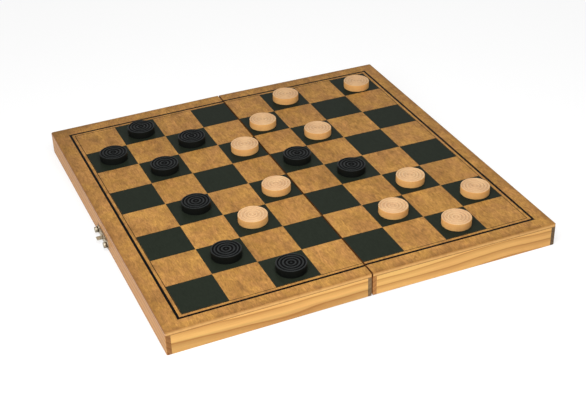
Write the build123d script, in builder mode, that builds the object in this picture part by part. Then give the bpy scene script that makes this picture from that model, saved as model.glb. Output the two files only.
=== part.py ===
from build123d import *
import math
import os

# Folding wooden checkers set, lying open on a table: two shallow box halves hinged
# along their inner rims, a printed playing surface across both, a small hasp that
# keeps them shut when they are folded, and twenty turned wooden men in play.
# The origin is on the table under the middle of the fold. X runs along the front
# edge to the right, Y runs away from the player and Z runs up. All sizes are in mm.

# Board
square = 33.0
board_depth = 294.5
half_reach = 146.3
fold_half_gap = 0.5
board_height = 18.0
panel_thickness = 3.0
wall_thickness = 3.5
inner_wall_thickness = 2.7
panel_corner_cut = 0.8
panel_edge_radius = 1.2
wall_corner_radius = 1.0

# Printed pattern
squares_across = 8
field_reach = 130.5
print_shift_x = 0.45
print_shift_y = {-1: -1.2, 1: -0.4}
ink_depth = 0.25
ink_clearance = 0.05
thin_line_width = 0.45
thick_line_offset = 3.4
thick_line_width = 1.9

# Men
man_radius = 10.9
man_thickness = 6.0

# Fold hinges
hinge_positions = (-88.0, 88.0)
hinge_length = 22.0
hinge_height = 11.0
leaf_thickness = 0.46
leaf_corner_radius = 1.2
knuckle_radius = 1.02
knuckle_end_length = 5.6
knuckle_gap = 0.12
hinge_pin_radius = 0.45
pin_seat_clearance = 0.01
pin_running_clearance = 0.06
knuckle_notch = 1.3
notch_end_gap = 0.8
hinge_nail_offset = 6.6
hinge_nail_height = 6.4
hinge_nail_width = 0.8
hinge_nail_neck_radius = 0.57
hinge_nail_head_radius = 0.91
hinge_nail_length = 2.6

# Hasp and catch
plate_thickness = 0.8
clasp_middle = -2.6
plate_ear_radius = 3.2
plate_ear_reach = 11.3
plate_neck_height = 4.6
plate_body_length = 13.2
plate_body_height = 6.8
plate_fillet = 0.9
plate_middle = 4.6
screw_head_radius = 2.2
screw_head_height = 2.4
screw_slot_width = 0.55
screw_slot_depth = 1.0
screw_slot_turn = 20.0
screw_shank_radius = 0.8
screw_shank_length = 3.9
tongue_width = 4.0
tongue_thickness = 0.9
tongue_reach = 5.3
tongue_bottom = 3.8
tongue_window = 2.2
hasp_axis_out = 1.9
hasp_axis_up = 1.9
hasp_knuckle_radius = 1.3
hasp_knuckle_inner = 3.15
hasp_knuckle_outer = 6.5
hasp_pin_radius = 0.55
flap_knuckle_half = 3.0
flap_root_half = 3.0
flap_half_width = 4.8
flap_length = 10.6
flap_slot_half = 2.5
flap_slot_start = 5.3
flap_slot_end = 7.9
flap_lean = 1.5
flap_lip_radius = 1.1
flap_lip_reach = 1.55

# The knuckles stand below the rims, so the fold sits a knuckle's radius above the
# table and each half leans down to its outer rim.
wall_height = board_height - panel_thickness
tilt = math.degrees(math.asin(knuckle_radius / half_reach))
half_width = half_reach - fold_half_gap
half_middle = fold_half_gap + half_width / 2
sides = {"left": -1, "right": 1}


def half_plane(side):
    """The rim plane of one half, with its origin on the fold's axis."""
    lean = math.radians(tilt) * side
    return Plane(
        origin=(0, 0, knuckle_radius),
        x_dir=(math.cos(lean), 0, -math.sin(lean)),
        z_dir=(math.sin(lean), 0, math.cos(lean)),
    )


def side_plane(side, out, y, up):
    """A plane that faces out of a half's outer wall, its own Y running up the wall."""
    base = half_plane(side)
    return Plane(
        origin=base.from_local_coords(Vector(side * (half_reach + out), y, up)),
        x_dir=(0, side, 0),
        z_dir=base.x_dir * side,
    )


def fold_plane(side, out, y, up):
    """A plane that faces the fold from a half, its own Y running up the wall."""
    base = half_plane(side)
    return Plane(
        origin=base.from_local_coords(Vector(side * out, y, up)),
        x_dir=(0, -side, 0),
        z_dir=base.x_dir * -side,
    )


def section_plane(side, y):
    """An upright plane across a half: its X runs out of the half and its Y runs up."""
    base = half_plane(side)
    return Plane(
        origin=base.from_local_coords(Vector(0, y, 0)),
        x_dir=base.x_dir * side,
        z_dir=(0, -side, 0),
    )


def keep(piece, name):
    """Name a finished piece and write it."""
    piece.part.label = name
    export_step(piece.part, f"parts/{name}.step")


def column_edges(side, column):
    """The outer and inner distances from the fold of one of a half's four columns."""
    outer = field_reach + side * print_shift_x - column * square
    inner = outer - square
    if column == squares_across // 2 - 1:
        inner = fold_half_gap
    return outer, inner


def is_dark(side, column, row):
    """The near left square of the board is dark, and the colours alternate."""
    board_column = column if side < 0 else squares_across - 1 - column
    return (board_column + row) % 2 == 0


def dark_square_shapes(side):
    """Add one half's dark squares to the open sketch."""
    for column in range(squares_across // 2):
        for row in range(squares_across):
            if not is_dark(side, column, row):
                continue
            outer, inner = column_edges(side, column)
            inner_edge = inner + ink_clearance
            if inner == fold_half_gap:
                inner_edge = inner
            outer_edge = outer - ink_clearance
            y = (row - squares_across / 2 + 0.5) * square + print_shift_y[side]
            with Locations((side * (outer_edge + inner_edge) / 2, y)):
                Rectangle(outer_edge - inner_edge, square - 2 * ink_clearance)


def border_line_shapes(side):
    """Add one half's two printed frame lines, open at the fold, to the open sketch."""
    reach = field_reach + side * print_shift_x
    field_half_depth = squares_across * square / 2
    y = print_shift_y[side]
    thick_start = thick_line_offset - thick_line_width / 2
    for start, width in ((thick_start, thick_line_width), (0, thin_line_width)):
        end = start + width
        outline_reach = reach + end - fold_half_gap
        opening_reach = reach + start - fold_half_gap
        with Locations((side * (fold_half_gap + outline_reach / 2), y)):
            Rectangle(outline_reach, 2 * (field_half_depth + end))
        with Locations((side * (fold_half_gap + opening_reach / 2), y)):
            Rectangle(opening_reach, 2 * (field_half_depth + start), mode=Mode.SUBTRACT)


def make_panel(side):
    """The plywood panel, with shallow pockets that the printed ink fills."""
    base = half_plane(side)
    up = Axis(base.origin, base.z_dir)
    with BuildPart() as panel:
        with BuildSketch(base.offset(wall_height)):
            with Locations((side * half_middle, 0)):
                outline = Rectangle(half_width, board_depth)
            outer_corners = outline.vertices().sort_by(Axis.X)[:: side][-2:]
            chamfer(outer_corners, panel_corner_cut)
        extrude(amount=panel_thickness)
        top = panel.faces().sort_by(up)[-1]
        from_fold = Axis(base.origin, base.x_dir * side)
        fillet(top.edges().sort_by(from_fold)[1:], panel_edge_radius)
        with BuildSketch(base.offset(board_height)):
            dark_square_shapes(side)
        extrude(amount=-ink_depth, mode=Mode.SUBTRACT)
        with BuildSketch(base.offset(board_height)):
            border_line_shapes(side)
        extrude(amount=-ink_depth, mode=Mode.SUBTRACT)
    return panel


def make_dark_squares(side):
    """The ink of one half's dark squares, flush with the panel."""
    with BuildPart() as ink:
        with BuildSketch(half_plane(side).offset(board_height)):
            dark_square_shapes(side)
        extrude(amount=-ink_depth)
    return ink


def make_border_lines(side):
    """The ink of one half's two frame lines, flush with the panel."""
    with BuildPart() as ink:
        with BuildSketch(half_plane(side).offset(board_height)):
            border_line_shapes(side)
        extrude(amount=-ink_depth)
    return ink


def clasp_screw_planes(side):
    """Where the two screws of a clasp plate stand on the wall."""
    return [
        side_plane(side, 0, clasp_middle + end * plate_ear_reach, plate_middle)
        for end in (-1, 1)
    ]


def hinge_nail_planes(side, out):
    """Where the nails of both hinges stand in a half's inner wall."""
    planes = []
    for middle in hinge_positions:
        for end in (-1, 1):
            y = middle + end * hinge_nail_offset
            planes.append(fold_plane(side, out, y, hinge_nail_height))
    return planes


def make_outer_wall(side):
    """The long wall at the outer edge; its ends show on the front and the back."""
    base = half_plane(side)
    with BuildPart() as wall:
        with BuildSketch(base):
            with Locations((side * (half_reach - wall_thickness / 2), 0)):
                outline = Rectangle(wall_thickness, board_depth)
            outer_corners = outline.vertices().sort_by(Axis.X)[:: side][-2:]
            fillet(outer_corners, wall_corner_radius)
        extrude(amount=wall_height)
        with Locations(*clasp_screw_planes(side)):
            Cylinder(
                screw_shank_radius,
                2 * (screw_shank_length - plate_thickness),
                mode=Mode.SUBTRACT,
            )
    return wall


def make_inner_wall(side):
    """The long wall along the fold, notched at the rim for the hinge knuckles."""
    with BuildPart() as wall:
        with BuildSketch(half_plane(side)):
            with Locations((side * (fold_half_gap + inner_wall_thickness / 2), 0)):
                Rectangle(inner_wall_thickness, board_depth)
        extrude(amount=wall_height)
        for middle in hinge_positions:
            with BuildSketch(section_plane(side, middle)):
                Rectangle(2 * knuckle_notch, 2 * knuckle_notch)
            extrude(amount=hinge_length / 2 + notch_end_gap, both=True, mode=Mode.SUBTRACT)
        with Locations(*hinge_nail_planes(side, fold_half_gap)):
            Box(
                hinge_nail_width,
                hinge_nail_width,
                2 * (hinge_nail_length - leaf_thickness),
                mode=Mode.SUBTRACT,
            )
    return wall


def make_short_wall(side, end):
    """A front or back wall, butted between the two long walls."""
    length = half_width - wall_thickness - inner_wall_thickness
    x = side * (fold_half_gap + inner_wall_thickness + length / 2)
    y = end * (board_depth - wall_thickness) / 2
    with BuildPart() as wall:
        with BuildSketch(half_plane(side)):
            with Locations((x, y)):
                Rectangle(length, wall_thickness)
        extrude(amount=wall_height)
    return wall


def knuckle_spans(side):
    """Where a leaf's knuckles run along the hinge: two ends on the left, one between."""
    end = hinge_length / 2
    inner = end - knuckle_end_length
    if side < 0:
        return ((-end, -inner), (inner, end))
    return ((-inner + knuckle_gap, inner - knuckle_gap),)


def make_hinge_leaf(side, middle):
    """A stamped leaf with its knuckles curled round the fold's axis."""
    clearance = pin_seat_clearance if side < 0 else pin_running_clearance
    leaf_face = fold_half_gap - leaf_thickness
    leaf_start = knuckle_notch - fold_half_gap / 10
    with BuildPart() as leaf:
        with BuildSketch(fold_plane(side, leaf_face, middle, 0)):
            with Locations((0, (leaf_start + hinge_height) / 2)):
                outline = Rectangle(hinge_length, hinge_height - leaf_start)
            fillet(outline.vertices().sort_by(Axis.Y)[-2:], leaf_corner_radius)
        extrude(amount=-leaf_thickness)
        for start, end in knuckle_spans(side):
            span_middle = middle + (start + end) / 2
            with BuildSketch(section_plane(side, span_middle)):
                Circle(knuckle_radius)
                with Locations((leaf_face + leaf_thickness / 2, leaf_start / 2)):
                    Rectangle(leaf_thickness, leaf_start)
            extrude(amount=(end - start) / 2, both=True)
            with BuildSketch(section_plane(side, span_middle)):
                Circle(hinge_pin_radius + clearance)
            extrude(amount=(end - start) / 2, both=True, mode=Mode.SUBTRACT)
        nail_planes = [
            fold_plane(side, leaf_face, middle + end * hinge_nail_offset, hinge_nail_height)
            for end in (-1, 1)
        ]
        with Locations(*nail_planes):
            Cone(
                hinge_nail_neck_radius,
                hinge_nail_head_radius,
                leaf_thickness,
                align=(Align.CENTER, Align.CENTER, Align.MAX),
                mode=Mode.SUBTRACT,
            )
    return leaf


def make_hinge_pin(middle):
    """The hinge's plain pin, gripped by the left leaf's knuckles."""
    with BuildPart() as pin:
        with BuildSketch(section_plane(1, middle)):
            Circle(hinge_pin_radius)
        extrude(amount=hinge_length / 2, both=True)
    return pin


def make_hinge_nails(side):
    """The cut nails that hold both hinges' leaves on one half, with countersunk heads."""
    leaf_face = fold_half_gap - leaf_thickness
    from_head = (Align.CENTER, Align.CENTER, Align.MAX)
    with BuildPart() as nails:
        with Locations(*hinge_nail_planes(side, leaf_face)):
            Cone(hinge_nail_neck_radius, hinge_nail_head_radius, leaf_thickness, align=from_head)
            Box(hinge_nail_width, hinge_nail_width, hinge_nail_length, align=from_head)
    return nails


def plate_outline():
    """The stamped outline that the catch and the hasp share: a body with two ears."""
    body = Rectangle(plate_body_length, plate_body_height)
    fillet(body.vertices(), plate_fillet)
    Rectangle(2 * plate_ear_reach, plate_neck_height)
    with Locations((-plate_ear_reach, 0), (plate_ear_reach, 0)):
        Circle(plate_ear_radius)


def make_catch_plate():
    """The catch on the left wall: an eared plate with a tongue bent out of it."""
    side = sides["left"]
    with BuildPart() as catch:
        with BuildSketch(side_plane(side, 0, clasp_middle, plate_middle)):
            plate_outline()
            window_middle = tongue_bottom + tongue_thickness + tongue_window / 2
            with Locations((0, window_middle - plate_middle)):
                Rectangle(tongue_width, tongue_window, mode=Mode.SUBTRACT)
        extrude(amount=plate_thickness)
        with BuildSketch(section_plane(side, clasp_middle)):
            with Locations((half_reach + tongue_reach / 2, tongue_bottom + tongue_thickness / 2)):
                blade = Rectangle(tongue_reach, tongue_thickness)
            fillet(blade.vertices().sort_by(Axis.X)[-2:], tongue_thickness * 0.4)
        extrude(amount=tongue_width / 2, both=True)
        with Locations(*clasp_screw_planes(side)):
            Hole(screw_shank_radius)
    return catch


def hasp_axis_plane(side):
    """An upright section plane with its origin on the hasp pin's axis."""
    base = half_plane(side)
    axis_point = Vector(side * (half_reach + hasp_axis_out), clasp_middle, hasp_axis_up)
    return Plane(
        origin=base.from_local_coords(axis_point),
        x_dir=base.x_dir * side,
        z_dir=(0, -side, 0),
    )


def make_hasp_plate():
    """The hasp's base on the right wall: the same eared plate, with two knuckles."""
    side = sides["right"]
    knuckle_length = hasp_knuckle_outer - hasp_knuckle_inner
    with BuildPart() as hasp:
        with BuildSketch(side_plane(side, 0, clasp_middle, plate_middle)):
            plate_outline()
            notch_top = hasp_axis_up + hasp_knuckle_radius + knuckle_gap
            with Locations((0, notch_top - plate_middle)):
                Rectangle(
                    2 * hasp_knuckle_inner,
                    plate_body_height,
                    align=(Align.CENTER, Align.MAX),
                    mode=Mode.SUBTRACT,
                )
        extrude(amount=plate_thickness)
        for end in (-1, 1):
            start = end * (hasp_knuckle_inner + knuckle_length / 2)
            with BuildSketch(hasp_axis_plane(side).offset(start)):
                Circle(hasp_knuckle_radius)
                with Locations((-hasp_axis_out / 2, 0)):
                    Rectangle(hasp_axis_out, 2 * hasp_knuckle_radius)
            extrude(amount=knuckle_length / 2, both=True)
        with BuildSketch(hasp_axis_plane(side)):
            Circle(hasp_pin_radius + pin_seat_clearance)
        extrude(amount=hasp_knuckle_outer, both=True, mode=Mode.SUBTRACT)
        with Locations(*clasp_screw_planes(side)):
            Hole(screw_shank_radius)
    return hasp


def flap_section_plane(side):
    """The flap's own section plane: its X runs away from the wall and its Y up the flap."""
    section = hasp_axis_plane(side)
    lean = math.radians(flap_lean)
    return Plane(
        origin=section.origin,
        x_dir=section.x_dir * math.cos(lean) + section.y_dir * math.sin(lean),
        z_dir=section.z_dir,
    )


def make_hasp_flap():
    """The swinging flap: a knuckle, a slotted leaf and a lip bent towards the wall."""
    side = sides["right"]
    section = flap_section_plane(side)
    middle_plane = Plane(section.origin, x_dir=section.z_dir * -1, z_dir=section.x_dir)
    shoulder = hasp_knuckle_radius + 2 * knuckle_gap
    lip_level = flap_length + flap_lip_radius
    with BuildPart() as flap:
        with BuildSketch(middle_plane):
            with BuildLine():
                Polyline(
                    (-flap_root_half, 0),
                    (flap_root_half, 0),
                    (flap_root_half, shoulder),
                    (flap_half_width, shoulder + flap_half_width - flap_root_half),
                    (flap_half_width, flap_length),
                    (-flap_half_width, flap_length),
                    (-flap_half_width, shoulder + flap_half_width - flap_root_half),
                    (-flap_root_half, shoulder),
                    close=True,
                )
            make_face()
            with Locations((0, (flap_slot_start + flap_slot_end) / 2)):
                Rectangle(
                    2 * flap_slot_half,
                    flap_slot_end - flap_slot_start,
                    mode=Mode.SUBTRACT,
                )
        extrude(amount=plate_thickness / 2, both=True)
        with BuildSketch(section):
            with BuildLine() as bend:
                CenterArc((-flap_lip_radius, flap_length), flap_lip_radius, 0, 90)
                Line((-flap_lip_radius, lip_level), (-flap_lip_reach, lip_level))
            trace(bend.line, plate_thickness)
        extrude(amount=flap_half_width, both=True)
        with BuildSketch(hasp_axis_plane(side)):
            Circle(hasp_knuckle_radius)
        extrude(amount=flap_knuckle_half, both=True)
        with BuildSketch(hasp_axis_plane(side)):
            Circle(hasp_pin_radius + pin_running_clearance)
        extrude(amount=flap_knuckle_half, both=True, mode=Mode.SUBTRACT)
    return flap


def make_hasp_pin():
    """The plain pin that the flap swings on, gripped by the plate's knuckles."""
    section = hasp_axis_plane(sides["right"])
    with BuildPart() as pin:
        with BuildSketch(section):
            Circle(hasp_pin_radius)
        extrude(amount=hasp_knuckle_outer, both=True)
    return pin


def make_clasp_screws(side):
    """The two slotted screws of a clasp plate, with tall heads that stand out like knobs."""
    with BuildPart() as screws:
        for seat in clasp_screw_planes(side):
            head = seat.offset(plate_thickness)
            with BuildSketch(head):
                Circle(screw_head_radius)
            extrude(amount=screw_head_height)
            with BuildSketch(head):
                Circle(screw_shank_radius)
            extrude(amount=-screw_shank_length)
            with BuildSketch(head.offset(screw_head_height)):
                Rectangle(screw_slot_width, 3 * screw_head_radius, rotation=screw_slot_turn)
            extrude(amount=-screw_slot_depth, mode=Mode.SUBTRACT)
    return screws


def man_plane(side, column, row, shift_x, shift_y):
    """The seat of a man on its square, shifted as it was put down."""
    column_middle = field_reach - (column + 0.5) * square
    x = side * column_middle + shift_x
    y = (row - squares_across / 2 + 0.5) * square + shift_y
    base = half_plane(side)
    return Plane(
        origin=base.from_local_coords(Vector(x, y, board_height)),
        x_dir=base.x_dir,
        z_dir=base.z_dir,
    )


def make_man(seat):
    """A turned man: a plain disc, as the fine rings in its top are only carving."""
    with BuildPart() as man:
        with BuildSketch(seat):
            Circle(man_radius)
        extrude(amount=man_thickness)
    return man


# Men in play, as board column, board row and how far off the square's middle each
# one was put down. Columns count from the left and rows from the near edge.
black_men = (
    (2, 0, 1.3, -3.2),
    (1, 1, 0.7, -1.4),
    (1, 3, 3.0, 0.6),
    (5, 3, -1.0, -1.6),
    (4, 4, 1.6, -0.6),
    (1, 5, -0.3, -2.3),
    (0, 6, 2.0, -1.0),
    (2, 6, 0.2, -3.5),
    (1, 7, 1.3, -3.1),
)
light_men = (
    (6, 0, 0.9, -1.7),
    (5, 1, 0.4, -2.0),
    (7, 1, 2.0, -3.3),
    (2, 2, 0.6, -1.5),
    (6, 2, -0.7, -1.6),
    (3, 3, -0.6, -2.5),
    (3, 5, 0.7, -1.3),
    (5, 5, 0.5, -2.4),
    (4, 6, -0.9, -2.4),
    (5, 7, 1.3, -0.8),
    (7, 7, 0.7, -4.5),
)

os.makedirs("parts", exist_ok=True)

for half_name, half_side in sides.items():
    keep(make_panel(half_side), f"{half_name}_panel")
    keep(make_dark_squares(half_side), f"{half_name}_dark_squares")
    keep(make_border_lines(half_side), f"{half_name}_border_lines")
    keep(make_outer_wall(half_side), f"{half_name}_outer_wall")
    keep(make_inner_wall(half_side), f"{half_name}_inner_wall")
    keep(make_short_wall(half_side, -1), f"{half_name}_front_wall")
    keep(make_short_wall(half_side, 1), f"{half_name}_back_wall")
    keep(make_hinge_nails(half_side), f"{half_name}_hinge_nails")

for hinge_name, hinge_middle in zip(("front", "back"), hinge_positions):
    for half_name, half_side in sides.items():
        leaf_name = f"{hinge_name}_hinge_{half_name}_leaf"
        keep(make_hinge_leaf(half_side, hinge_middle), leaf_name)
    keep(make_hinge_pin(hinge_middle), f"{hinge_name}_hinge_pin")

keep(make_catch_plate(), "catch_plate")
keep(make_clasp_screws(sides["left"]), "catch_screws")
keep(make_hasp_plate(), "hasp_plate")
keep(make_hasp_flap(), "hasp_flap")
keep(make_hasp_pin(), "hasp_pin")
keep(make_clasp_screws(sides["right"]), "hasp_screws")

for colour, men in (("black", black_men), ("light", light_men)):
    for number, (column, row, shift_x, shift_y) in enumerate(men, 1):
        man_side = -1 if column < squares_across // 2 else 1
        half_column = column if man_side < 0 else squares_across - 1 - column
        seat = man_plane(man_side, half_column, row, shift_x, shift_y)
        keep(make_man(seat), f"{colour}_man_{number}")
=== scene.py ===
import math
import random

import bmesh
import bpy
from mathutils import Matrix, Vector


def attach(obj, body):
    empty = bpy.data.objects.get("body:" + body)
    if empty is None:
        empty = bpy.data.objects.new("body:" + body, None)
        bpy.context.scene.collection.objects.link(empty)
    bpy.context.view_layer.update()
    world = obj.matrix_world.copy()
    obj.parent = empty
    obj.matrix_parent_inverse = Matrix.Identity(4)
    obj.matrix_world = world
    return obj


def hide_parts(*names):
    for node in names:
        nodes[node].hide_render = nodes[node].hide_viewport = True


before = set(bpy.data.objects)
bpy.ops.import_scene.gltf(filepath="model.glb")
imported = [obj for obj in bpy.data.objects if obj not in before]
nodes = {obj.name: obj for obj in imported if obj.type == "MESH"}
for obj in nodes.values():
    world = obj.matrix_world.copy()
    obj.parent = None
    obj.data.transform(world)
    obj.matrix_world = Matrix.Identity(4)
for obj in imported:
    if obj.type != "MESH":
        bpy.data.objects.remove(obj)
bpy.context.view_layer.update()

MM = 0.001
sides = {"left": -1, "right": 1}

# Sizes in mm that the looks and the finer pieces share with the solids
half_reach = 146.3
half_depth = 147.25
board_height = 18.0
panel_thickness = 3.0
knuckle_radius = 1.02
clasp_middle = -2.6
plate_half_length = 14.5
plate_top = 7.4
man_radius = 10.9
man_thickness = 6.0

# Each half leans out by this angle, on the hinge knuckles under the fold
tilt = math.asin(knuckle_radius / half_reach)

# Sizes in mm that only the looks need
wall_ease = 0.3
plate_ease = 0.15
edge_reach = 5.0
# how far above a clasp plate its painted shadow reaches
plate_shadow_reach = 3.0
slot_clear = half_reach + 1.35
wood_relief = 0.06
ink_relief = 0.03
man_relief = 0.03
metal_relief = 0.02


# Node helpers

def srgb(red, green, blue):
    """A colour as a picture shows it, from 0 to 255, as the linear colour a node takes."""
    values = []
    for value in (red, green, blue):
        value = value / 255
        values.append(value / 12.92 if value <= 0.04045 else ((value + 0.055) / 1.055) ** 2.4)
    return (*values, 1.0)


class Nodes:
    """A node tree, with a short call for each kind of node that the looks need."""

    def __init__(self, tree):
        self.tree = tree

    def feed(self, socket, value):
        """Link an output to a socket, or set a plain value on it."""
        if isinstance(value, bpy.types.NodeSocket):
            self.tree.links.new(value, socket)
        else:
            socket.default_value = value

    def node(self, kind, inputs=None, **settings):
        made = self.tree.nodes.new(kind)
        for key, value in settings.items():
            setattr(made, key, value)
        for key, value in (inputs or {}).items():
            self.feed(made.inputs[key], value)
        return made

    def math(self, operation, *values):
        return self.node("ShaderNodeMath", dict(enumerate(values)), operation=operation).outputs[0]

    def vector_math(self, operation, *values):
        made = self.node("ShaderNodeVectorMath", dict(enumerate(values)), operation=operation)
        return made.outputs["Value" if operation in ("DOT_PRODUCT", "LENGTH") else "Vector"]

    def dot(self, vector, direction):
        return self.vector_math("DOT_PRODUCT", vector, direction)

    def split(self, vector):
        return self.node("ShaderNodeSeparateXYZ", {"Vector": vector}).outputs

    def joined(self, x=0.0, y=0.0, z=0.0):
        return self.node("ShaderNodeCombineXYZ", {"X": x, "Y": y, "Z": z}).outputs[0]

    def mapped(self, vector, scale=(1, 1, 1), offset=(0, 0, 0), turn=(0, 0, 0)):
        inputs = {"Vector": vector, "Scale": scale, "Location": offset, "Rotation": turn}
        return self.node("ShaderNodeMapping", inputs).outputs["Vector"]

    def noise(self, vector, scale, offset=(0, 0, 0), detail=2.0, roughness=0.5, distortion=0.0):
        """Noise with a scale of its own along each axis."""
        inputs = {
            "Vector": self.mapped(vector, scale, offset),
            "Scale": 1.0,
            "Detail": detail,
            "Roughness": roughness,
            "Distortion": distortion,
        }
        return self.node("ShaderNodeTexNoise", inputs).outputs["Fac"]

    def ramp(self, value, stops):
        made = self.node("ShaderNodeValToRGB", {"Fac": value})
        points = made.color_ramp.elements
        while len(points) < len(stops):
            points.new(0.5)
        for point, (place, colour) in zip(points, stops):
            point.position = place
            point.color = colour
        return made.outputs["Color"]

    def grey(self, value, stops):
        return self.ramp(value, [(place, (level, level, level, 1)) for place, level in stops])

    def rise(self, value, start, end):
        """0 up to start, and 1 from end on."""
        return self.grey(value, [(start, 0.0), (end, 1.0)])

    def mix(self, factor, first, second, blend="MIX"):
        inputs = {"Factor": factor, "A": first, "B": second}
        made = self.node("ShaderNodeMix", inputs, data_type="RGBA", blend_type=blend)
        return made.outputs["Result"]

    def overlay(self, share, colour, tone):
        """Darken where the tone is below a half, and lighten where it is above."""
        return self.mix(share, colour, tone, "OVERLAY")

    def seen_rays(self):
        """1 for the rays that show a surface: straight, mirrored or through glass."""
        path = self.node("ShaderNodeLightPath").outputs
        seen = self.math("MAXIMUM", path["Is Camera Ray"], path["Is Glossy Ray"])
        return self.math("MAXIMUM", seen, path["Is Transmission Ray"])


class Shader(Nodes):
    """The nodes of one new material."""

    def __init__(self, name):
        self.material = bpy.data.materials.new(name)
        self.material.use_nodes = True
        super().__init__(self.material.node_tree)
        self.surface = self.tree.nodes["Principled BSDF"].inputs
        coordinates = self.node("ShaderNodeTexCoord").outputs
        self.place = coordinates["Object"]
        self.normal = coordinates["Normal"]

    def finished(self, colour, roughness, gloss, relief, depth, strength):
        """The material, once its surface is fed. depth is how deep the relief is, in mm."""
        bump = {"Height": relief, "Distance": depth * MM, "Strength": strength}
        self.feed(self.surface["Base Color"], colour)
        self.feed(self.surface["Roughness"], roughness)
        self.feed(self.surface["Specular IOR Level"], gloss)
        self.feed(self.surface["Normal"], self.node("ShaderNodeBump", bump).outputs["Normal"])
        return self.material


# Wear and stain, with painted shadow and shade

# colours that darken the faces in the fold
fold_brown = srgb(116, 74, 40)
fold_tint = srgb(246, 234, 224)
pore_brown = srgb(120, 78, 36)
handled_brown = srgb(112, 74, 36)
smudge_brown = srgb(96, 66, 34)
# the colour of the clasp plates' painted shadow
plate_shadow_brown = srgb(96, 60, 34)
# painted shade with some grime, for the screws' slots
slot_shade_and_grime_brown = srgb(66, 54, 38)

# Each smudge's x and y, half width and half length in mm, and its share in the middle
smudges = {
    "left": [
        (-141, 143, 16, 8, 0.5),
        (-122, 145, 14, 5, 0.35),
        (-116, 117, 5, 10, 0.4),
    ],
    "right": [
        (30, 112, 3, 14, 0.3),
        (38, 84, 3, 14, 0.3),
    ],
}


def fold_face(shader, side):
    """1 on a face that looks into the fold, where its colour is darkened."""
    return shader.rise(shader.dot(shader.normal, (-side, 0, 0)), 0.7, 0.9)


def near_edge(shader):
    """1 at the board's outline, falling to 0 at edge_reach from it."""
    place = shader.split(shader.place)
    from_end = shader.math("SUBTRACT", half_depth * MM, shader.math("ABSOLUTE", place["Y"]))
    from_side = shader.math("SUBTRACT", half_reach * MM, shader.math("ABSOLUTE", place["X"]))
    nearest = shader.math("MINIMUM", from_end, from_side)
    return shader.grey(shader.math("DIVIDE", nearest, edge_reach * MM), [(0.0, 1.0), (1.0, 0.0)])


def smudge(shader, middle, reach, share):
    """A soft oval in the plane of the board, from share in its middle to 0 at its reach."""
    scale = (1 / (reach[0] * MM), 1 / (reach[1] * MM), 0)
    offset = (-middle[0] / reach[0], -middle[1] / reach[1], 0)
    out = shader.vector_math("LENGTH", shader.mapped(shader.place, scale, offset))
    return shader.grey(out, [(0.0, share), (0.4, share * 0.7), (1.0, 0.0)])


def plate_shadow_line(shader):
    """The painted shadow that a clasp plate casts along its upper edge, on the wall's outer face.
    """
    place = shader.split(shader.place)
    outward = shader.math("MULTIPLY", shader.dot(shader.normal, (1, 0, 0)), place["X"])
    outward = shader.rise(shader.math("DIVIDE", outward, half_reach * MM), 0.5, 0.8)
    along = shader.math("SUBTRACT", place["Y"], clasp_middle * MM)
    along = shader.math("DIVIDE", shader.math("ABSOLUTE", along), plate_half_length * MM)
    along = shader.grey(along, [(0.8, 0.9), (1.0, 0.0)])
    above = shader.math("SUBTRACT", place["Z"], plate_top * MM)
    above = shader.math("DIVIDE", above, plate_shadow_reach * MM)
    above = shader.grey(above, [(0.0, 1.0), (0.5, 0.8), (1.0, 0.0)])
    return shader.math("MULTIPLY", outward, shader.math("MULTIPLY", along, above))


# Materials of the board

def wood_fibres(shader, offset):
    """Fine fibres along Y, longer faint streaks, and the slower mottling of the veneer."""
    fine = shader.noise(shader.place, (1100, 240, 1100), offset, 3.0, 0.6)
    streaks = shader.noise(shader.place, (260, 40, 260), offset, 3.0, 0.55, 0.6)
    mottle = shader.noise(shader.place, (300, 180, 300), offset, 4.0, 0.6, 0.8)
    return fine, streaks, mottle


def veneer_face(shader, half, offset, fine_tone, streak_tone, mottle_tone):
    """The stained upper face: ochre and russet patches, fibres, pores and marks of handling."""
    cloud = shader.noise(shader.place, (46, 26, 46), offset, 3.0, 0.5, 0.6)
    patch_offset = (offset[1], offset[0], 4.0)
    patches = shader.noise(shader.place, (95, 60, 95), patch_offset, 3.0, 0.55, 0.4)
    ochre = shader.ramp(cloud, [(0.3, srgb(153, 110, 53)), (0.7, srgb(178, 131, 66))])
    russet = shader.ramp(cloud, [(0.3, srgb(149, 105, 55)), (0.7, srgb(169, 121, 66))])
    colour = shader.mix(shader.rise(patches, 0.4, 0.6), ochre, russet)

    colour = shader.overlay(0.8, colour, mottle_tone)
    streak_share = shader.grey(patches, [(0.45, 0.25), (0.6, 0.7)])
    colour = shader.overlay(streak_share, colour, streak_tone)
    colour = shader.overlay(0.6, colour, fine_tone)
    pores = shader.noise(shader.place, (1900, 500, 1900), offset, 1.0)
    pores = shader.grey(pores, [(0.0, 1.0), (0.3, 1.0), (0.38, 0.0), (1.0, 0.0)])
    colour = shader.mix(shader.math("MULTIPLY", pores, 0.35), colour, pore_brown)

    handled = shader.math("MULTIPLY", near_edge(shader), patches)
    colour = shader.mix(handled, colour, handled_brown)
    for x, y, half_width, half_length, share in smudges[half]:
        amount = smudge(shader, (x, y), (half_width, half_length), share)
        colour = shader.mix(amount, colour, smudge_brown)
    return colour


def ply_edge(shader, height, mottle_tone):
    """The plies by their height in the panel, pinker along its sides than at its ends."""
    end_plies = [
        (0.0, srgb(150, 102, 56)),
        (0.12, srgb(160, 112, 62)),
        (0.2, srgb(214, 164, 100)),
        (0.6, srgb(214, 164, 100)),
        (0.78, srgb(172, 124, 70)),
    ]
    side_plies = [
        (0.0, srgb(138, 98, 68)),
        (0.12, srgb(150, 106, 74)),
        (0.22, srgb(214, 168, 130)),
        (0.5, srgb(206, 160, 120)),
        (0.62, srgb(146, 102, 64)),
    ]
    sideways = shader.math("ABSOLUTE", shader.dot(shader.normal, (1, 0, 0)))
    sideways = shader.rise(sideways, 0.5, 0.8)
    plies = shader.mix(sideways, shader.ramp(height, end_plies), shader.ramp(height, side_plies))
    return shader.overlay(0.4, plies, mottle_tone)


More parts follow.
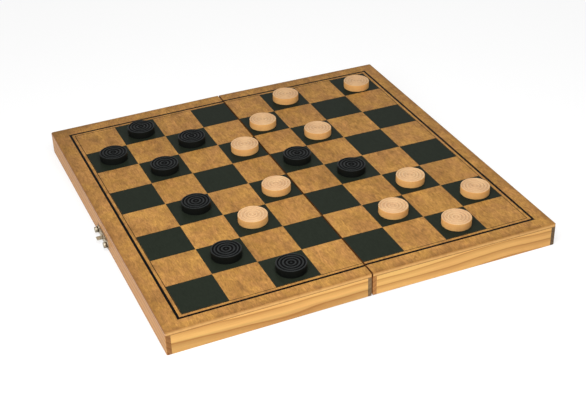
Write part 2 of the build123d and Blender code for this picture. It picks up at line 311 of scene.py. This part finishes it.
def panel_material(half):
    """Plywood: stained veneer above, plies round the edge, and bare veneer in the tray."""
    side = sides[half]
    shader = Shader(half + "_panel_veneer")
    offset = (side * 3.1, side * 1.7, 0)
    fine, streaks, mottle = wood_fibres(shader, offset)
    fine_tone = shader.grey(fine, [(0.32, 0.3), (0.5, 0.5), (0.7, 0.66)])
    streak_tone = shader.grey(streaks, [(0.3, 0.36), (0.52, 0.5), (0.72, 0.6)])
    mottle_tone = shader.grey(mottle, [(0.3, 0.34), (0.5, 0.5), (0.7, 0.65)])

    square_to_panel = (side * math.sin(tilt), 0, math.cos(tilt))
    underside = knuckle_radius * math.cos(tilt) + board_height - panel_thickness
    height = shader.math("SUBTRACT", shader.dot(shader.place, square_to_panel), underside * MM)
    height = shader.math("DIVIDE", height, panel_thickness * MM)
    up = shader.dot(shader.normal, square_to_panel)
    down = shader.math("MULTIPLY", up, -1.0)

    face = veneer_face(shader, half, offset, fine_tone, streak_tone, mottle_tone)
    edge = ply_edge(shader, height, mottle_tone)
    bare = shader.overlay(0.8, srgb(204, 158, 102), streak_tone)
    bare = shader.overlay(0.5, bare, fine_tone)
    colour = shader.mix(shader.rise(up, 0.6, 0.85), edge, face)
    colour = shader.mix(shader.rise(down, 0.6, 0.85), colour, bare)
    colour = shader.mix(fold_face(shader, side), colour, fold_brown)

    roughness = shader.grey(mottle, [(0.3, 0.56), (0.7, 0.46)])
    relief = shader.math("ADD", fine, shader.math("MULTIPLY", streaks, 0.6))
    return shader.finished(colour, roughness, 0.08, relief, wood_relief, 0.5)


def ink_material(name, tone, smooth, rough):
    """Satin printing ink, with the veneer's fibres telegraphing through it."""
    shader = Shader(name)
    fine, streaks, mottle = wood_fibres(shader, (0.7, 0.3, 0))
    colour = shader.overlay(0.35, tone, shader.grey(fine, [(0.3, 0.32), (0.7, 0.62)]))
    colour = shader.overlay(0.4, colour, shader.grey(mottle, [(0.3, 0.4), (0.7, 0.58)]))
    roughness = shader.grey(mottle, [(0.3, rough), (0.7, smooth)])
    relief = shader.math("ADD", fine, shader.math("MULTIPLY", streaks, 0.7))
    return shader.finished(colour, roughness, 0.018, relief, ink_relief, 0.3)


def late_wood(shader, place, offset, drift, pith, spacing):
    """The dark share of the growth rings round a far pith, so that faces and ends agree."""
    wobble = shader.noise(place, (120, 12, 120), offset)
    parts = shader.split(place)
    across = shader.math("SUBTRACT", parts["X"], pith[0] * MM)
    through = shader.math("SUBTRACT", parts["Z"], pith[1] * MM)
    out = shader.vector_math("LENGTH", shader.joined(across, through))
    rings = shader.math("DIVIDE", out, spacing * MM)
    rings = shader.math("ADD", rings, shader.math("MULTIPLY", drift, 2.0))
    rings = shader.math("ADD", rings, shader.math("MULTIPLY", wobble, 0.3))
    cycle = shader.math("FRACT", rings)
    return shader.grey(cycle, [(0.0, 0.0), (0.35, 0.05), (0.78, 0.55), (0.9, 1.0), (1.0, 0.0)])


def end_grain(shader, grain, colour, end_tone):
    """The colour with its ends darkened, because they drink more lacquer."""
    along = (1, 0, 0) if grain == "X" else (0, 1, 0)
    end = shader.math("ABSOLUTE", shader.dot(shader.normal, along))
    specks = shader.noise(shader.place, (2600, 2600, 2600))
    specks = shader.grey(specks, [(0.35, 0.34), (0.6, 0.56)])
    end_colour = shader.mix(1.0, colour, end_tone, "MULTIPLY")
    end_colour = shader.overlay(0.6, end_colour, specks)
    return shader.mix(shader.rise(end, 0.6, 0.85), colour, end_colour)


def pine_material(
    name, seed, grain, tones, pith, spacing, end_tone, foot=1.0, fold_side=0, has_plate=False
):
    """Solid pine in two tones, for the early and the late wood.

    grain is "X" or "Y". pith is where the rings' middle lies across the grain and above
    the table, and spacing is the distance between rings, both in mm. foot is how much
    of its colour the wall's lower half keeps under a painted shade. fold_side is the side
    of an inner wall, whose face in the fold is darkened, and has_plate is for a wall with
    a clasp plate, whose shadow along the plate's upper edge is painted on the wall.
    """
    shader = Shader(name)
    place = shader.place
    if grain == "X":
        place = shader.mapped(place, turn=(0, 0, math.pi / 2))
    offset = (seed * 0.37, seed * 0.21, seed * 0.13)
    drift = shader.noise(place, (22, 8, 22), offset)
    late = late_wood(shader, place, offset, drift, pith, spacing)
    colour = shader.mix(late, *tones)

    fine = shader.noise(place, (1700, 60, 1700), offset, 3.0, 0.6)
    fine_tone = shader.grey(fine, [(0.3, 0.42), (0.5, 0.5), (0.7, 0.57)])
    colour = shader.overlay(0.45, colour, fine_tone)
    cloud = shader.noise(place, (30, 8, 60), offset, 3.0, 0.55)
    colour = shader.overlay(0.5, colour, shader.grey(cloud, [(0.3, 0.4), (0.7, 0.58)]))
    # painted shade: the wall's colour darkened towards its lower half, by foot
    height = shader.math("DIVIDE", shader.split(place)["Z"], board_height * MM)
    height = shader.math("ADD", height, shader.math("MULTIPLY", drift, 0.4))
    lower_shade_tone = shader.grey(height, [(0.4, foot), (0.6, foot), (0.68, 1.0)])
    colour = shader.mix(1.0, colour, lower_shade_tone, "MULTIPLY")

    colour = end_grain(shader, grain, colour, end_tone)
    if fold_side:
        colour = shader.mix(fold_face(shader, fold_side), colour, fold_tint, "MULTIPLY")
    if has_plate:
        # painted shadow: the brown line along the clasp plate's upper edge
        colour = shader.mix(plate_shadow_line(shader), colour, plate_shadow_brown)

    roughness = shader.grey(fine, [(0.3, 0.5), (0.7, 0.4)])
    relief = shader.math("ADD", fine, shader.math("MULTIPLY", late, 0.5))
    return shader.finished(colour, roughness, 0.1, relief, wood_relief, 0.5)


# Materials of the metal parts and the men

def metal_material(name, tone, tarnish, roughness, scale=260, clear_from=None):
    """Plated metal, a little tarnished, with fine handling scratches.

    clear_from is how far from the board's middle, in mm, a screw's head begins to come
    clear of the painted shade and grime that darken its slot and the foot of its head.
    """
    shader = Shader(name)
    patches = shader.noise(shader.place, (scale, scale, scale), detail=4.0, roughness=0.6)
    grit = shader.noise(shader.place, (2500, 900, 2500), detail=3.0, roughness=0.6)
    colour = shader.mix(shader.grey(patches, [(0.42, 0.0), (0.7, 0.7)]), tone, tarnish)
    # painted shade, with some grime: a screw's head darkened near its seat and in its slot
    if clear_from:
        out = shader.math("ABSOLUTE", shader.dot(shader.place, (1, 0, 0)))
        out = shader.math("DIVIDE", shader.math("SUBTRACT", out, clear_from * MM), MM)
        colour = shader.mix(shader.grey(out, [(0.0, 1.0), (0.6, 0.0)]), colour, slot_shade_and_grime_brown)
    shader.feed(shader.surface["Metallic"], 1.0)
    rough = shader.grey(patches, [(0.3, roughness - 0.06), (0.7, roughness + 0.14)])
    return shader.finished(colour, rough, 0.5, grit, metal_relief, 0.35)


# How fast the ripple of the lathe tool's marks turns, in radians to a mm
tool_ripple = 20.0


def man_material(name, top, edge, groove, groove_shade_share, fibre_share, roughness, gloss):
    """A turned man: tool marks, grooves with painted shade, a top and side whose colours are
    partly painted light, and a grain of its own.
    """
    shader = Shader(name)
    own = shader.node("ShaderNodeObjectInfo").outputs["Random"]
    own = shader.joined(own, own, own)
    place = shader.vector_math("MULTIPLY_ADD", own, (0.9, 1.7, 0.4), shader.place)
    fine = shader.noise(place, (1300, 90, 700), detail=3.0, roughness=0.6)
    cloud = shader.noise(place, (120, 50, 120), detail=3.0, roughness=0.5, distortion=0.5)

    # partly grain, partly painted light: the top and the side get colours set for how each is lit
    facing_up = shader.rise(shader.dot(shader.normal, (0, 0, 1)), 0.3, 0.75)
    colour = shader.mix(facing_up, edge, top)
    fine_tone = shader.grey(fine, [(0.3, 0.38), (0.5, 0.5), (0.7, 0.6)])
    colour = shader.overlay(fibre_share, colour, fine_tone)
    colour = shader.overlay(0.5, colour, shader.grey(cloud, [(0.3, 0.42), (0.7, 0.57)]))
    # painted shade: each groove's colour darkened by its depth
    groove_shade = shader.node("ShaderNodeAttribute", attribute_name="groove").outputs["Fac"]
    groove_shade = shader.grey(groove_shade, [(0.1, 0.0), (0.5, 0.75), (0.8, 1.0)])
    colour = shader.mix(shader.math("MULTIPLY", groove_shade, groove_shade_share), colour, groove)

    flat = shader.vector_math("MULTIPLY", shader.place, (1, 1, 0))
    radius = shader.vector_math("LENGTH", flat)
    tool = shader.math("SINE", shader.math("MULTIPLY", radius, tool_ripple / MM))
    relief = shader.math("ADD", fine, shader.math("MULTIPLY", tool, 0.12))
    rough = shader.grey(cloud, [(0.3, roughness + 0.05), (0.7, roughness - 0.04)])
    return shader.finished(colour, rough, gloss, relief, man_relief, 0.5)


# Dressing the frame's nodes

def dress(node, material):
    """Give a CAD node its material."""
    piece = nodes[node]
    if not piece.data.materials:
        piece.data.materials.append(material)
    for slot in piece.material_slots:
        slot.material = material


def ease(node, width):
    """Ease a CAD node's hard edges, as handling and plating do."""
    piece = nodes[node]
    dissolve = piece.modifiers.new("flat_faces", "DECIMATE")
    dissolve.decimate_type = "DISSOLVE"
    dissolve.angle_limit = math.radians(0.5)
    bevel = piece.modifiers.new("eased_edges", "BEVEL")
    bevel.width = width * MM
    bevel.segments = 2
    bevel.limit_method = "ANGLE"
    bevel.angle_limit = math.radians(40)
    bevel.harden_normals = True


# Board

for half in sides:
    square_ink = ink_material(half + "_square_ink", srgb(32, 37, 29), smooth=0.28, rough=0.38)
    line_ink = ink_material(half + "_line_ink", srgb(9, 9, 8), smooth=0.3, rough=0.4)
    dress(half + "_panel", panel_material(half))
    dress(half + "_dark_squares", square_ink)
    dress(half + "_border_lines", line_ink)

golden = (srgb(230, 180, 106), srgb(188, 130, 68))
tan = (srgb(202, 150, 92), srgb(174, 118, 68))
short_walls = {
    "left_front_wall": {"seed": 1, "pith": (60, -30), "spacing": 3.4, "foot": 0.82},
    "right_front_wall": {"seed": 2, "pith": (90, -50), "spacing": 4.5, "foot": 0.97},
    "left_back_wall": {"seed": 3, "pith": (-80, 50), "spacing": 3.8, "foot": 0.95},
    "right_back_wall": {"seed": 4, "pith": (-50, 40), "spacing": 4.6, "foot": 0.95},
}
long_walls = {
    "left_outer_wall": {
        "seed": 5,
        "pith": (-200, -60),
        "spacing": 3.6,
        "end_tone": srgb(196, 184, 176),
        "has_plate": True,
    },
    "left_inner_wall": {
        "seed": 6,
        "pith": (50, -50),
        "spacing": 3.0,
        "end_tone": srgb(184, 205, 236),
        "foot": 0.72,
        "fold_side": -1,
    },
    "right_inner_wall": {
        "seed": 7,
        "pith": (-40, 60),
        "spacing": 3.2,
        "end_tone": srgb(236, 226, 214),
        "fold_side": 1,
    },
    "right_outer_wall": {
        "seed": 8,
        "pith": (200, 80),
        "spacing": 3.4,
        "end_tone": srgb(142, 161, 200),
        "has_plate": True,
    },
}
short_wood = {"grain": "X", "tones": golden, "end_tone": srgb(190, 170, 150)}
long_wood = {"grain": "Y", "tones": tan}
for walls, wood in ((short_walls, short_wood), (long_walls, long_wood)):
    for wall, own_wood in walls.items():
        dress(wall, pine_material(wall + "_pine", **wood, **own_wood))
        ease(wall, wall_ease)

# Metal

clasp_metal = metal_material(
    "clasp_nickel", srgb(198, 186, 162), srgb(84, 72, 52), roughness=0.42, scale=600
)
screw_metal = metal_material(
    "screw_nickel",
    srgb(186, 178, 158),
    srgb(76, 62, 42),
    roughness=0.52,
    scale=700,
    clear_from=slot_clear,
)
hinge_brass = metal_material(
    "hinge_brass", srgb(214, 182, 112), srgb(140, 108, 62), roughness=0.34
)
pin_steel = metal_material("pin_steel", srgb(196, 192, 184), srgb(120, 112, 100), roughness=0.36)
for node in ("catch_plate", "hasp_plate", "hasp_flap"):
    dress(node, clasp_metal)
    ease(node, plate_ease)
for node in ("catch_screws", "hasp_screws"):
    dress(node, screw_metal)
for node in ("hasp_pin", "front_hinge_pin", "back_hinge_pin"):
    dress(node, pin_steel)
for half in sides:
    dress("front_hinge_" + half + "_leaf", hinge_brass)
    dress("back_hinge_" + half + "_leaf", hinge_brass)
    dress(half + "_hinge_nails", hinge_brass)

# Men

groove_radii = (1.75, 4.3, 6.9, 9.3)
ridge_radii = (0.0, 3.1, 5.7, 8.2, 10.3)
groove_depth = 0.65
top_edge = 0.6
foot_edge = 0.35
wave_steps = 6
edge_steps = 6
around = 96


def ring_levels():
    """The top's heights by radius: smooth waves between the ridges and the grooves."""
    stops = [(radius, 0.0) for radius in ridge_radii]
    stops += [(radius, -groove_depth) for radius in groove_radii]
    stops.sort()
    levels = []
    for (start, low), (end, high) in zip(stops, stops[1:]):
        for step in range(wave_steps):
            part = step / wave_steps
            level = low + (high - low) * (1 - math.cos(math.pi * part)) / 2
            levels.append((start + (end - start) * part, level))
    return levels


def eased_edge(reach, height, start):
    """(radius, height) round an eased edge, for a quarter turn from start."""
    points = []
    for step in range(edge_steps + 1):
        angle = start + math.pi / 2 * step / edge_steps
        radius = man_radius - reach + reach * math.sin(angle)
        points.append((radius, height + reach * math.cos(angle)))
    return points


def man_profile():
    """(radius, height, groove share) from the top's middle out and under."""
    profile = []
    for radius, level in ring_levels():
        profile.append((radius, man_thickness + level, -level / groove_depth))
    edges = eased_edge(top_edge, man_thickness - top_edge, 0.0)
    edges += eased_edge(foot_edge, foot_edge, math.pi / 2)
    profile += [(radius, height, 0.0) for radius, height in edges]
    profile.append((0.0, 0.0, 0.0))
    return profile


def man_mesh(name):
    """The turned form, with its groove depths kept as an attribute for the material."""
    form = bmesh.new()
    groove_layer = form.verts.layers.float.new("groove")
    rings = []
    for radius, height, groove in man_profile():
        ring = []
        for index in range(around if radius > 0 else 1):
            angle = 2 * math.pi * index / around
            point = Vector((radius * math.cos(angle), radius * math.sin(angle), height))
            vertex = form.verts.new(point * MM)
            vertex[groove_layer] = groove
            ring.append(vertex)
        rings.append(ring)
    for upper, lower in zip(rings, rings[1:]):
        for index in range(around):
            following = (index + 1) % around
            corners = [
                upper[index % len(upper)],
                lower[index % len(lower)],
                lower[following % len(lower)],
                upper[following % len(upper)],
            ]
            # A middle point is the same corner twice, so its faces are triangles.
            form.faces.new(list(dict.fromkeys(corners)))
    for face in form.faces:
        face.smooth = True
    mesh = bpy.data.meshes.new(name)
    form.to_mesh(mesh)
    form.free()
    return mesh


def add_men(colour, material, seed):
    """A turned man in place of each plain one, each with its grain its own way."""
    mesh = man_mesh(colour + "_man_form")
    mesh.materials.append(material)
    turns = random.Random(seed)
    for node in sorted(nodes):
        if not node.startswith(colour + "_man_"):
            continue
        corners = [vertex.co for vertex in nodes[node].data.vertices]
        side = -1 if corners[0].x < 0 else 1
        lean = Matrix.Rotation(side * tilt, 4, "Y")
        turn = Matrix.Rotation(turns.uniform(0, 2 * math.pi), 4, "Z")
        upright = lean.inverted()
        points = [upright @ corner for corner in corners]
        low = Vector([min(point[axis] for point in points) for axis in range(3)])
        high = Vector([max(point[axis] for point in points) for axis in range(3)])
        base = lean @ Vector(((low.x + high.x) / 2, (low.y + high.y) / 2, low.z))
        man = bpy.data.objects.new(node + "_turned", mesh)
        bpy.context.scene.collection.objects.link(man)
        man.matrix_world = Matrix.Translation(base) @ lean @ turn
        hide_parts(node)
        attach(man, node)


# The top and edge colours hold painted light as well as each wood, and the groove colours are
# painted shade.
black_lacquer = man_material(
    "black_man_lacquer",
    top=srgb(42, 44, 44),
    edge=srgb(19, 21, 19),
    groove=srgb(1, 1, 1),
    groove_shade_share=1.0,
    fibre_share=0.3,
    roughness=0.4,
    gloss=0.03,
)
light_beech = man_material(
    "light_man_beech",
    top=srgb(205, 168, 126),
    edge=srgb(222, 168, 102),
    groove=srgb(160, 112, 72),
    groove_shade_share=0.25,
    fibre_share=0.45,
    roughness=0.46,
    gloss=0.12,
)
add_men("black", black_lacquer, seed=11)
add_men("light", light_beech, seed=12)

# Stage

floor_reach = 4.0
floor_grey = 0.8
shadow_grey = 0.3
floor_glow = 0.74
sky_light = 0.4
sky_seen = 1.0


def stage_material(name):
    """A pale surface that lights the object plainly and is seen nearly white, with shadows."""
    material = bpy.data.materials.new(name)
    material.use_nodes = True
    stage = Nodes(material.node_tree)
    plain_colour = (floor_grey, floor_grey, floor_grey, 1)
    shadow_colour = (shadow_grey, shadow_grey, shadow_grey, 1)
    plain = stage.node("ShaderNodeBsdfDiffuse", {"Color": plain_colour})
    shadowed = stage.node("ShaderNodeBsdfDiffuse", {"Color": shadow_colour})
    glow = stage.node("ShaderNodeEmission", {"Strength": floor_glow})
    seen = stage.node("ShaderNodeAddShader", {0: shadowed.outputs[0], 1: glow.outputs[0]})
    choice = {"Fac": stage.seen_rays(), 1: plain.outputs[0], 2: seen.outputs[0]}
    surface = stage.node("ShaderNodeMixShader", choice).outputs[0]
    stage.feed(stage.tree.nodes["Material Output"].inputs["Surface"], surface)
    return material


floor_form = bmesh.new()
bmesh.ops.create_grid(floor_form, x_segments=1, y_segments=1, size=floor_reach)
floor_mesh = bpy.data.meshes.new("floor")
floor_form.to_mesh(floor_mesh)
floor_form.free()
floor_mesh.materials.append(stage_material("floor_paper"))
floor = bpy.data.objects.new("floor", floor_mesh)
bpy.context.scene.collection.objects.link(floor)

world = bpy.data.worlds.new("studio")
bpy.context.scene.world = world
world.use_nodes = True
sky = Nodes(world.node_tree)
light = {"Value": sky.seen_rays(), "To Min": sky_light, "To Max": sky_seen}
background = sky.tree.nodes["Background"].inputs
sky.feed(background["Color"], (1, 1, 1, 1))
sky.feed(background["Strength"], sky.node("ShaderNodeMapRange", light).outputs["Result"])


def add_lamp(name, place, size, power):
    """A soft rectangular lamp that faces the middle of the board."""
    data = bpy.data.lights.new(name, "AREA")
    data.shape = "RECTANGLE"
    data.size = size[0]
    data.size_y = size[1]
    data.energy = power
    lamp = bpy.data.objects.new(name, data)
    bpy.context.scene.collection.objects.link(lamp)
    lamp.location = place
    aim = Vector((0, 0, 0)) - Vector(place)
    lamp.rotation_euler = aim.to_track_quat("-Z", "Y").to_euler()


add_lamp("key", place=(-1.5, -0.8, 1.0), size=(1.2, 1.0), power=12.5)
add_lamp("overhead", place=(-0.1, -0.22, 0.4), size=(0.35, 0.35), power=1.8)
add_lamp("fill", place=(1.4, -0.9, 1.0), size=(1.2, 1.2), power=3.2)
add_lamp("rim", place=(1.0, 1.1, 1.3), size=(1.0, 1.0), power=1.0)

# The camera's angles are in degrees
camera_place = (-0.30115, -0.73212, 0.48514)
camera_angles = (58.27, 1.147, -24.05)
camera_data = bpy.data.cameras.new("camera")
camera_data.sensor_width = 36.0
camera_data.lens = 73.652
camera_data.shift_x = -0.01863
camera_data.shift_y = -0.00257
camera = bpy.data.objects.new("camera", camera_data)
camera.location = camera_place
camera.rotation_euler = [math.radians(angle) for angle in camera_angles]
bpy.context.scene.collection.objects.link(camera)
bpy.context.scene.camera = camera
bpy.context.scene.view_settings.view_transform = "Standard"
